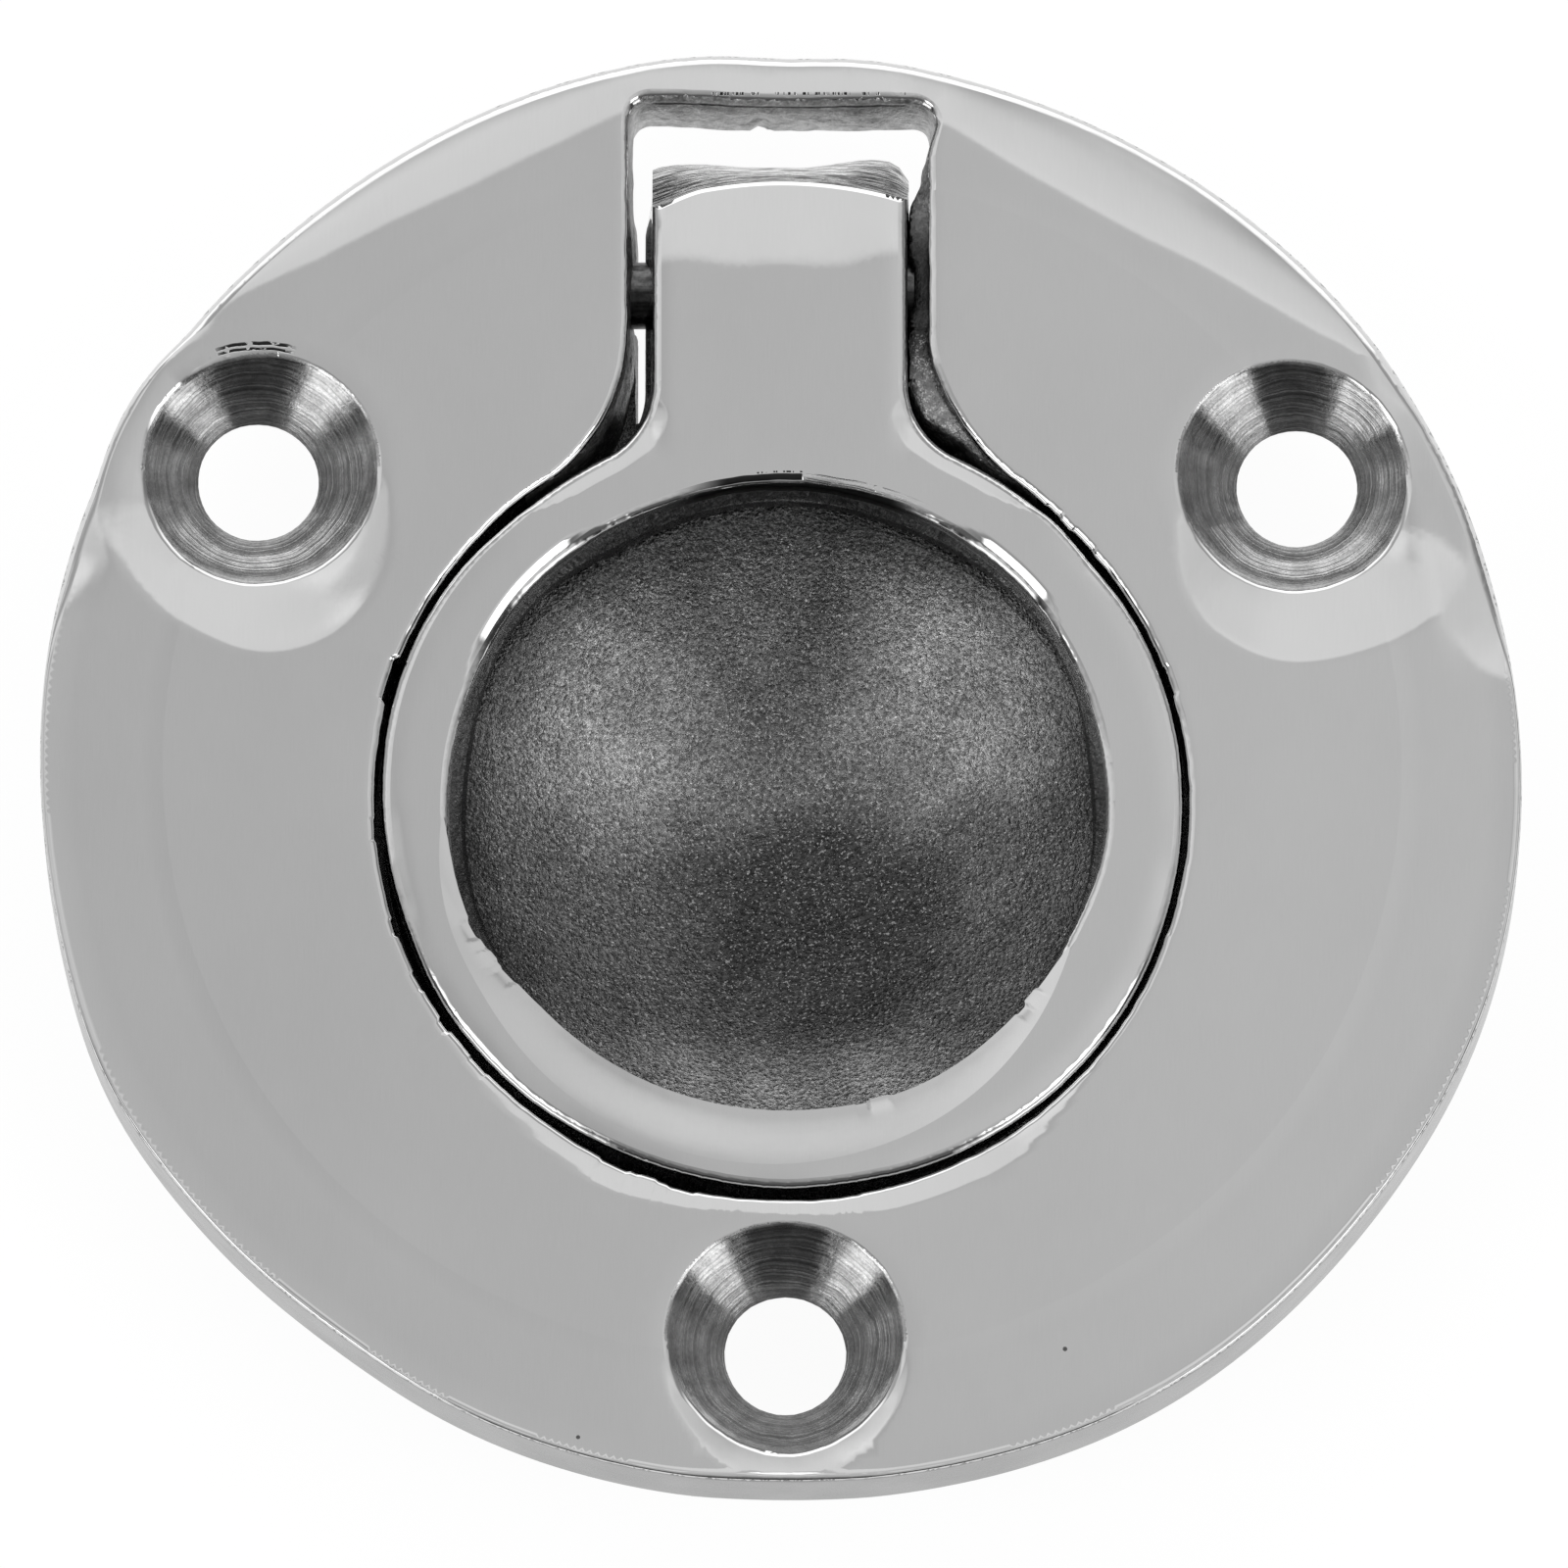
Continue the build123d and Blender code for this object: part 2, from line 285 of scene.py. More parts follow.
def warp_base(p):
    """Where the points of the base go, in millimetres."""
    x, y, z = p.T.copy()
    r = np.hypot(x, y) + 1e-9
    rho = np.hypot(x, y - RING_Y) + 1e-9
    phi = np.degrees(np.arctan2(y, x))
    around = np.degrees(np.arctan2(y - RING_Y, x))
    g = pocket_gap(x, y)
    mx, my, mz = np.zeros_like(x), np.zeros_like(x), np.zeros_like(x)

    # the rim in plan
    out = rim_out(phi) * smooth(24.2, 27.3, r) * smooth(-1.5, -0.2, z)
    # away from the hinge its edge is crisper: the rounding, from z 1.84 and r 26.9 on, is drawn out
    crisp = 0.40 * smooth(8.0, 3.0, y)
    flat = np.clip((r - 24.9) / 2.0, 0, 1) ** 2
    out += crisp * flat * (1 - np.clip((r - 26.9) / 0.6, 0, 1)) * smooth(0.8, 1.6, z)
    mz += crisp * np.clip(z / 1.84, 0, 1) * (1 - np.clip((z - 1.84) / 0.6, 0, 1)) * smooth(26.4, 27.2, r)
    mx, my = mx + out * x / r, my + out * y / r

    # the polished face, its ground sides and its dips
    mz += rim_fall(x, y) * np.clip(z / cad_face(r), 0, 1) * smooth(0.0, 0.4, z) * smooth(22.0, 24.0, r)
    mz += smooth(1.0, 2.7, z) * (polish_dip(x, y) + hand_wave(x, y))

    # lip of the round pocket, dressed by hand
    beside = bump(np.clip(g, -5, 5), 0, 1.1) * smooth(-0.4, 2.0, z) * smooth(11.5, 9.0, y)
    lip = lip_out(around) * beside
    mx, my = mx + lip * x / rho, my + lip * (y - RING_Y) / rho

    # rough cast walls of the slot and its flares
    slot = bump(np.clip(g, -5, 5), 0, 0.6) * smooth(9.5, 12.0, y) * smooth(-2.6, -1.6, z)
    low = slot * smooth(3.0, 1.6, z)
    mx += low * (0.07 * noise(x * 0, y, z, 1.4, 21) + 0.04 * noise(x * 0, y, z, 0.5, 22))
    my += low * (0.05 * noise(x, y * 0, z, 1.6, 23) + 0.03 * noise(x, y * 0, z, 0.45, 24))
    notch = step_bump(x + 0.8, 0.16, 0.5) * smooth(1.8, 0.2, z)
    my -= low * smooth(23.6, 25.0, y) * (0.16 - 0.22 * notch)
    lipy = slot * smooth(1.6, 2.8, z)
    mx += lipy * 0.03 * wave(y + 20 * np.sign(x), 31, 3.7, 1.9, 1.1)
    my += lipy * 0.012 * wave(x, 32, 4.0, 1.3) * smooth(24.5, 25.4, y)
    # the right wall stands further in, most of all low down
    wall = np.interp(y, [10.5, 12.5, 13.5, 17.2, 17.8, 19.4, 20.1, 21.0, 22.7, 23.6, 24.8],
                     [0.0, 0.50, 1.3, 1.3, 0.80, 0.80, 1.3, 1.3, 0.5, 0.32, 0.0])
    top = np.interp(y, [12.5, 15.5, 23.6, 24.8], [0.0, 0.30, 0.30, 0.0])
    t = smooth(2.85, 2.35, z)
    inward = np.minimum((top + (wall - top) * t) * slot, np.clip(x - NECK_HALF - 0.09, 0, None))
    mx -= np.where(x > 0, inward, 0)
    mx += np.where(x < 0, 0.12 * bump(y, 19.4, 1.6) + 0.10 * bump(y, 13.5, 1.8), 0) * slot * t

    # the bowl: a shallow hammered dip and cast grain
    bowl = smooth(-0.5, -0.95, z) * (1 - smooth(12.4, 12.8, rho)) * smooth(-5.7, -5.5, z)
    mz += bowl * (0.05 * noise(x, y, 0, 3.5, 42) + 0.022 * noise(x, y, 0, 1.1, 43))
    mz -= bowl * 0.10 * bump(np.hypot(x - 1.0, y + 3.4), 4.3, 1.1)

    # the sinks: a little off their places, cut nearly through, and slightly uneven
    for i, (px, py) in enumerate(screw_places()):
        dx, dy = x - px, y - py
        d = np.hypot(dx, dy) + 1e-9
        at = np.degrees(np.arctan2(dy, dx))
        hold = (1 - smooth(4.75, 6.2, d)) * smooth(-0.9, -0.2, z)
        mx, my = mx + SINK_SHIFT[i][0] * hold, my + SINK_SHIFT[i][1] * hold
        flare = 0.24 * (1 - smooth(0.0, 0.75, z)) * smooth(-0.6, -0.1, z) * (1 - smooth(2.6, 3.6, d))
        mx, my = mx + flare * dx / d, my + flare * dy / d
        s = np.radians(at) * 4
        uneven = 0.02 * np.sin(np.radians(3 * at + 50 * i)) + 0.015 * wave(s, 60 + i, 3.0, 1.2)
        uneven = uneven * np.exp(-(((d - 3.6) / 1.6) ** 4)) * smooth(-0.5, 0.3, z)
        if i == 0:
            near_side = bump(turn_gap(at, -90), 0, 62) * bump(d, 4.5, 0.7)
            uneven -= 0.20 * near_side * smooth(1.6, 2.8, z)
        if i == 2:
            chatter = 0.10 * step_bump(at - 92, 11, 0.1) + 0.07 * step_bump(at - 112, 7, 0.15)
            uneven += chatter * bump(d, 4.6, 0.3) * smooth(1.9, 2.7, z)
        mx, my = mx + uneven * dx / d, my + uneven * dy / d
    return np.stack([x + mx, y + my, z + mz], axis=1)


# How far the ring's bore stands outwards at its top and at its bottom: angle, and the two in millimetres
BORE_WANDER = [
    (0, -0.04, -0.10), (10, -0.05, -0.10), (30, -0.05, 0.55), (40, 0.06, 0.75), (50, 0.05, 0.75),
    (60, 0.06, 0.70), (70, 0.08, 0.65), (80, 0.12, 0.75), (90, 0.14, 0.78), (100, 0.14, 0.75),
    (110, 0.14, 0.65), (120, 0.24, 0.55), (130, 0.30, 0.90), (140, 0.36, 0.95), (150, 0.26, 0.80),
    (160, 0.26, 0.40), (170, 0.28, 0.15), (180, 0.28, 0.12), (190, 0.33, 0.10), (198, 0.40, 0.10),
    (205, 0.36, 0.0), (211, 0.10, -0.1), (217, -0.15, -0.15), (230, -0.24, -0.2), (250, -0.30, -0.2),
    (260, -0.31, -0.2), (270, -0.29, -0.2), (280, -0.26, -0.2), (290, -0.12, -0.1), (300, -0.10, -0.1),
    (310, -0.18, -0.1), (320, -0.20, -0.1), (330, -0.28, -0.2), (340, -0.26, -0.2), (350, -0.04, -0.1),
]

# The same for its outer edge, at the top only
HOOP_WANDER = [
    (0, 0.02), (10, 0.05), (30, 0.03), (40, -0.12), (50, -0.14), (60, 0.05), (110, 0.0),
    (120, 0.17), (130, 0.12), (140, 0.12), (150, 0.20), (160, 0.18), (170, 0.11), (180, 0.0),
    (190, -0.09), (200, -0.17), (210, -0.05), (220, -0.08), (230, -0.09), (240, -0.16), (250, -0.18),
    (260, -0.13), (270, -0.02), (280, -0.07), (290, 0.08), (300, 0.10), (310, 0.15), (320, 0.16),
    (330, 0.15), (340, 0.08), (350, 0.05),
]

# Nicks in the bore's lip: angle, half length in millimetres, and depth into the metal
BORE_NICKS = [
    (96.5, 0.8, 0.05), (84.0, 0.7, 0.04), (203.0, 0.30, 0.10), (208.5, 0.22, -0.08), (213.0, 0.30, 0.07),
    (287.5, 0.35, -0.09), (284.5, 0.22, 0.05), (321.0, 0.30, -0.10), (318.2, 0.22, 0.07),
]


def ring_gap(x, y):
    """Distance outwards from the outline of the hoop and neck, with the shoulders rounded."""
    hoop = np.hypot(x, y - RING_Y) - RING_R
    neck = np.where(y < RING_Y, FAR, np.abs(x) - NECK_HALF)
    return joined(neck, hoop, 2.4)


def warp_ring(p):
    """Where the points of the ring go, in millimetres."""
    x, y, z = p.T.copy()
    rho = np.hypot(x, y - RING_Y) + 1e-9
    around = np.degrees(np.arctan2(y - RING_Y, x))
    mx, my, mz = np.zeros_like(x), np.zeros_like(x), np.zeros_like(x)
    top = smooth(1.4, 3.0, z)
    mz += top * hand_wave(x + 3, y - 5) * 0.8

    # the neck is ground lower towards its tail
    edge = 19.55 + 0.35 * bump(x, -3.4, 1.6) + 0.5 * bump(x, 4.2, 1.8) + 0.1 * wave(x, 71, 5.0)
    drop = np.clip(y - edge, -0.6, 9) + 0.6
    mz -= top * 0.052 * drop**1.35 * smooth(14, 16, y)

    # the far lip of the bore is chamfered to the left and right
    left = smooth(116, 130, around) * (1 - smooth(150, 166, around))
    right = smooth(28, 40, around) * (1 - smooth(52, 66, around))
    sides = left + right
    wide = 0.60 * sides
    mz -= top * 0.50 * sides * shelf(np.maximum(rho - BORE_R, -0.1), wide - 0.08, wide + 0.08)

    # softened outer edge of the hoop and of the neck
    outer = bump(np.clip(RING_R - rho, -1, 9), 0, 0.55) * smooth(9.5, 7.5, y)
    mz -= top * outer * (0.05 + 0.03 * noise(x, y, 0, 2.2, 75))
    side = bump(np.abs(x), NECK_HALF, 0.45) * smooth(11.5, 13.0, y)
    mz -= top * side * 0.04
    # a dressed chamfer along each shoulder
    inward = -ring_gap(x, y)
    wide = 0.78 * smooth(8.8, 10.6, y) * smooth(14.8, 13.2, y)
    mz -= top * 0.14 * smooth(0.2, 0.6, wide) * shelf(np.maximum(inward, -0.2), wide - 0.10, wide + 0.12)
    hoop = eased(around, HOOP_WANDER) + 0.012 * wave(np.radians(around) * RING_R, 77, 5.0, 2.1, 1.2)
    hoop = hoop * bump(np.clip(RING_R - rho, -1, 9), 0, 0.8) * smooth(9.5, 7.5, y) * smooth(0.6, 2.2, z)
    mx, my = mx + hoop * x / rho, my + hoop * (y - RING_Y) / rho

    # the left side of the neck leans out with depth, and the end of the tail was ground askew
    lean = -0.17 - 0.26 * smooth(2.6, 1.4, z) * smooth(22.0, 20.8, y)
    mx += lean * smooth(-2.2, -4.4, x) * smooth(10.5, 13.0, y)
    corner = 0.62 * smooth(-0.6, -4.7, x) + 0.72 * smooth(0.6, 4.1, x) * (1 - 0.75 * smooth(4.15, 4.7, x))
    my += (0.04 + corner) * smooth(2.95, -0.4, z) * smooth(20.6, 22.0, y)
    # its top edge is a small polished chamfer
    brink = smooth(2.84, 3.02, z) * smooth(20.6, 22.0, y)
    my = my - 0.22 * brink - 0.28 * smooth(-2.8, -4.6, x) * smooth(20.0, 22.0, y) * smooth(0.8, 2.6, z)
    mx += 0.06 * smooth(3.6, 4.5, x) * smooth(2.2, 1.4, z) * smooth(13.0, 15.0, y)

    # the bore wanders, has chatter to the north and nicks beside the thumb bevel
    high, deep = [(a, u) for a, u, _ in BORE_WANDER], [(a, v) for a, _, v in BORE_WANDER]
    share = np.clip((z + 0.5) / 3.2, 0, 1)
    bore = (eased(around, high) * share + eased(around, deep) * (1 - share)) * (1 - smooth(12.3, 14.0, rho))
    s = np.radians(around) * BORE_R
    lip = 0.008 * wave(s, 81, 3.3, 1.7, 0.8)
    for angle, half, amount in BORE_NICKS:
        lip += amount * step_bump(np.radians(turn_gap(around, angle)) * BORE_R, half, 0.5)
    bore += lip * bump(rho, BORE_R + 0.05, 0.3) * smooth(0.9, 2.2, z)
    mx, my = mx + bore * x / rho, my + bore * (y - RING_Y) / rho
    return np.stack([x + mx, y + my, z + mz], axis=1)


# Meshes from the frame


def unit(v):
    """Vectors of length one."""
    return v / (np.linalg.norm(v, axis=-1, keepdims=True) + 1e-12)


def frame_mesh(node):
    """Vertices, triangles and corner normals of a frame mesh, in millimetres, with doubles merged."""
    source = cad[node].data
    normals = np.empty(len(source.loops) * 3)
    source.corner_normals.foreach_get("vector", normals)
    normals = normals.reshape(-1, 3)
    places = np.empty(len(source.vertices) * 3)
    source.vertices.foreach_get("co", places)
    places = places.reshape(-1, 3) / MM
    corner = np.empty(len(source.loops), dtype=np.int64)
    source.loops.foreach_get("vertex_index", corner)
    key = np.round(places / WELD).astype(np.int64)
    _, first, merged = np.unique(key, axis=0, return_index=True, return_inverse=True)
    merged = merged.reshape(-1)
    tris = merged[corner].reshape(-1, 3)
    normals = normals.reshape(-1, 3, 3)
    whole = (tris[:, 0] != tris[:, 1]) & (tris[:, 1] != tris[:, 2]) & (tris[:, 2] != tris[:, 0])
    return places[first], tris[whole], normals[whole]


def split_long(v, t, n, limit):
    """Splits each edge longer than its limit once, with its middle on the curve that the normals give.

    Takes points, triangles and corner normals, and returns them with the number of edges that were split."""
    pairs = np.concatenate([t[:, [0, 1]], t[:, [1, 2]], t[:, [2, 0]]])
    starts = np.concatenate([n[:, 0], n[:, 1], n[:, 2]])
    ends = np.concatenate([n[:, 1], n[:, 2], n[:, 0]])
    swap = pairs[:, 0] > pairs[:, 1]
    starts, ends = np.where(swap[:, None], ends, starts), np.where(swap[:, None], starts, ends)
    pairs = np.sort(pairs, axis=1)
    keys = pairs[:, 0] * (len(v) + 1) + pairs[:, 1]
    _, first, edge = np.unique(keys, return_index=True, return_inverse=True)
    edge = edge.reshape(-1)
    a, b = v[pairs[first, 0]], v[pairs[first, 1]]
    middle = (a + b) / 2
    length = np.linalg.norm(b - a, axis=1)
    mark = length > limit(middle)
    # each side of an edge asks for its own small push towards its curved surface, and both are met. Where the
    # two surfaces are nearly one, the push is their mean
    p0, p1 = v[pairs[:, 0]], v[pairs[:, 1]]
    m = (p0 + p1) / 2
    side = unit(starts + ends)
    off0 = np.einsum("ij,ij->i", p0 - m, starts)
    off1 = np.einsum("ij,ij->i", p1 - m, ends)
    push = 0.25 * (off0 + off1)
    order = np.argsort(edge, kind="stable")
    sorted_edge = edge[order]
    begin = np.searchsorted(sorted_edge, np.arange(len(first)))
    second = np.minimum(begin + 1, len(order) - 1)
    i1, i2 = order[begin], order[second]
    n1, n2, c1, c2 = side[i1], side[i2], push[i1], push[i2]
    g = np.einsum("ij,ij->i", n1, n2)
    even = g > 0.94
    det = np.where(even, 1, 1 - g * g)
    k1 = np.where(even, (c1 + c2) / 4, (c1 - g * c2) / det)
    k2 = np.where(even, (c1 + c2) / 4, (c2 - g * c1) / det)
    shift = k1[:, None] * n1 + k2[:, None] * n2
    # a middle moves by 12 % of its edge's length at most
    size = np.linalg.norm(shift, axis=1)
    shift = shift * np.minimum(1, 0.12 * length / (size + 1e-12))[:, None]
    middle += shift
    number = np.full(len(first), -1)
    number[mark] = len(v) + np.arange(mark.sum())
    v2 = np.concatenate([v, middle[mark]])
    e = edge.reshape(3, -1).T
    hit = mark[e]
    count = hit.sum(axis=1)
    new_t, new_n = [t[count == 0]], [n[count == 0]]

    def turned(rows, by):
        """Corners 0 to 2 and middles 3 to 5 of some triangles, turned by some places, and their normals."""
        idx = (np.arange(3) + by[:, None]) % 3
        corners, middles = (np.take_along_axis(a[rows], idx, axis=1) for a in (t, number[e]))
        around = np.take_along_axis(n[rows], idx[:, :, None], axis=1)
        between = unit(around + around[:, [1, 2, 0]])
        return np.concatenate([corners, middles], axis=1), np.concatenate([around, between], axis=1)

    def add(six, normals, *triangles):
        for triangle in triangles:
            new_t.append(six[:, triangle])
            new_n.append(normals[:, triangle])

    # one edge split
    rows = np.flatnonzero(count == 1)
    add(*turned(rows, np.argmax(hit[rows], axis=1)), [0, 3, 2], [3, 1, 2])
    # two edges split: the corner between them, and the rest by its shorter diagonal
    rows = np.flatnonzero(count == 2)
    six, normals = turned(rows, (np.argmin(hit[rows], axis=1) + 1) % 3)
    add(six, normals, [3, 1, 4])
    d1 = np.linalg.norm(v2[six[:, 0]] - v2[six[:, 4]], axis=1)
    d2 = np.linalg.norm(v2[six[:, 2]] - v2[six[:, 3]], axis=1)
    one = d1 < d2
    add(six[one], normals[one], [0, 3, 4], [0, 4, 2])
    add(six[~one], normals[~one], [0, 3, 2], [3, 4, 2])
    # all three split
    rows = np.flatnonzero(count == 3)
    add(*turned(rows, np.zeros(len(rows), dtype=int)), [0, 3, 5], [3, 1, 4], [5, 4, 2], [3, 4, 5])
    return v2, np.concatenate(new_t), np.concatenate(new_n), int(mark.sum())


def refined(node, name, limit, warp, finish_of):
    """Copy of a frame mesh with short edges and smooth normals, sorted into finishes and then warped."""
    v, t, n = frame_mesh(node)
    for _ in range(HALVINGS):
        v, t, n, done = split_long(v, t, n, limit)
        if not done:
            break
    finish = finish_of(v[t].mean(axis=1), unit(n.mean(axis=1)))
    new = warp(v)
    # normals follow the warp by the inverse transpose of its slope
    slopes = []
    for axis in range(3):
        step = np.zeros(3)
        step[axis] = SLOPE_STEP
        slopes.append((warp(v + step) - warp(v - step)) / (2 * SLOPE_STEP))
    inverse = np.linalg.inv(np.stack(slopes, axis=2)).transpose(0, 2, 1)
    corners = unit(np.einsum("tcij,tcj->tci", inverse[t], n))
    mesh = bpy.data.meshes.new(name)
    mesh.vertices.add(len(new))
    mesh.vertices.foreach_set("co", (new * MM).ravel())
    mesh.loops.add(t.size)
    mesh.loops.foreach_set("vertex_index", t.ravel().astype(np.int32))
    mesh.polygons.add(len(t))
    mesh.polygons.foreach_set("loop_start", np.arange(0, t.size, 3, dtype=np.int32))
    mesh.update(calc_edges=True)
    mesh.polygons.foreach_set("material_index", finish.astype(np.int32))
    mesh.polygons.foreach_set("use_smooth", np.ones(len(t), dtype=bool))
    mesh.normals_split_custom_set(corners.reshape(-1, 3).tolist())
    mesh.update()
    piece = bpy.data.objects.new(name, mesh)
    bpy.context.scene.collection.objects.link(piece)
    return piece


def finer(limit, there, most):
    """The limit, and no more than most where there is true."""
    return np.where(there, np.minimum(limit, most), limit)


def base_limit(m):
    """Longest edge allowed at each place of the base, in millimetres."""
    x, y, z = m.T
    gap = pocket_gap(x, y)
    g = np.abs(gap)
    r = np.hypot(x, y)
    rho = np.hypot(x, y - RING_Y)
    limit = np.where(z > 1.2, 0.8, np.where(z > -1.2, 0.95, 1.8))
    # the lip of the pocket, the walls of the slot and the bowl
    limit = finer(limit, (z > 2.2) & (g < 0.5), 0.26)
    limit = finer(limit, (z > 2.7) & (g < 0.3), 0.18)
    limit = finer(limit, (y > 9) & (g < 0.55) & (z > -2.6), 0.42)
    limit = finer(limit, (rho < 12.3) & (z < -0.8) & (z > -5.4), 0.75)
    # the dips and ground sides of the face, and its edge
    limit = finer(limit, (z > 2.7) & (gap > 0) & (gap < 1.4) & (y < 0), 0.36)
    limit = finer(limit, (z > 1.3) & (r > 26.6), 0.34)
    for past in chords(x, y):
        limit = finer(limit, (z > 2.3) & (np.abs(past) < 0.7) & (y > 2), 0.36)
    # the sinks and the dips beside them
    for i, (px, py) in enumerate(screw_places()):
        d = np.hypot(x - px, y - py)
        limit = finer(limit, (z > 1.6) & (np.abs(d - 4.5) < 0.45), 0.3)
        limit = finer(limit, (z > 2.7) & (np.abs(d - 4.6) < 0.3), 0.14)
        reach, fine = (7.8, 0.38) if i else (5.5, 0.2)
        limit = finer(limit, (z > 2.6) & (d > 4.6) & (d < reach) & (y - py < 1.0), fine)
    return limit


def ring_limit(m):
    """Longest edge allowed at each place of the ring, in millimetres."""
    x, y, z = m.T
    rho = np.hypot(x, y - RING_Y)
    limit = np.where(z > 1.2, 0.42, 0.8)
    # the end of the tail, the shoulders, and the bore's far lip, its lower edge and its upper edge
    limit = np.where((z > 2.5) & (y > 21.2), 0.14, limit)
    limit = np.where((z > 2.6) & (y > 8.2) & (np.abs(ring_gap(x, y)) < 0.8), 0.2, limit)
    limit = finer(limit, (z > 2.4) & (np.abs(rho - 12.6) < 0.6) & (y > 3), 0.2)
    limit = np.where((z > -0.3) & (np.abs(rho - BORE_R) < 0.8) & (np.abs(z - 0.45) < 0.5), 0.16, limit)
    return np.where((z > 1.0) & (np.abs(rho - BORE_R) < 0.6), 0.17, limit)


# Finishes of the base, in the order of its materials
FACE, BOWL, SLOT, SINK, BACK, EDGE = range(6)


def base_finish(c, n):
    """Finish of each triangle of the base, from its centre and normal."""
    x, y, z = c.T
    up = n[:, 2]
    kind = np.full(len(c), FACE)
    kind[(z < 0.05) & (up < 0.3)] = BACK
    kind[z < -0.95] = BACK
    kind[(np.hypot(x, y) > 27.1) & (up < 0.42) & (z > 0)] = EDGE
    rho = np.hypot(x, y - RING_Y)
    gap = pocket_gap(x, y)
    kind[(rho < 15.3) & (z < -0.85) & (up > 0.3)] = BOWL
    # the walls of the pocket take the dark casting: cast walls, made dark as painted shade in the narrow
    # groove round the ring
    kind[(rho < 15.3) & (z < 2.6) & (z > -0.95) & (np.abs(up) < 0.5)] = BOWL
    inside = (np.abs(x) < 9.5) & (y > 8.5) & (y < SLOT_END + 0.05)
    kind[inside & (np.abs(up) < 0.5) & (z < 2.85) & (gap < 0.9) & (z > -2.6)] = SLOT
    kind[inside & (np.abs(x) < 5.2) & (y > 25.2) & (up < 0.8) & (z < 3.1) & (z > 0)] = SLOT
    # the ledge under the flares takes the dark casting too: a cast ledge, made dark as painted shade under
    # the flares
    kind[inside & (z < -0.8) & (z > -1.1) & (up > 0.5)] = BOWL
    for px, py in screw_places():
        d = np.hypot(x - px, y - py)
        kind[(d < 4.75) & (z > 0.003) & (up < np.where(y > py, 0.95, 0.8)) & (z < 3.15)] = SINK
    return kind


# Finishes of the ring, in the order of its materials. RING_BACK is in the pin's hole too
RING_FACE, TAIL_END, RING_BACK, LOW_BORE = range(4)


def ring_finish(c, n):
    """Finish of each triangle of the ring, from its centre and normal."""
    x, y, z = c.T
    across, far, up = n.T
    kind = np.full(len(c), RING_FACE)
    kind[up < -0.5] = RING_BACK
    kind[np.hypot(y - HINGE_Y, z - HINGE_Z) < 1.4] = RING_BACK
    kind[(y > 20.4) & (far > 0.1) & (np.abs(across) < 0.8) & (up > -0.5) & (z < 2.83)] = TAIL_END
    kind[(np.hypot(x, y - RING_Y) < 12.6) & (z < 0.45) & (up < 0.6)] = LOW_BORE
    return kind


base = refined("base_casting", "polished_base", base_limit, warp_base, base_finish)
ring = refined("pull_ring", "polished_ring", ring_limit, warp_ring, ring_finish)


# Materials


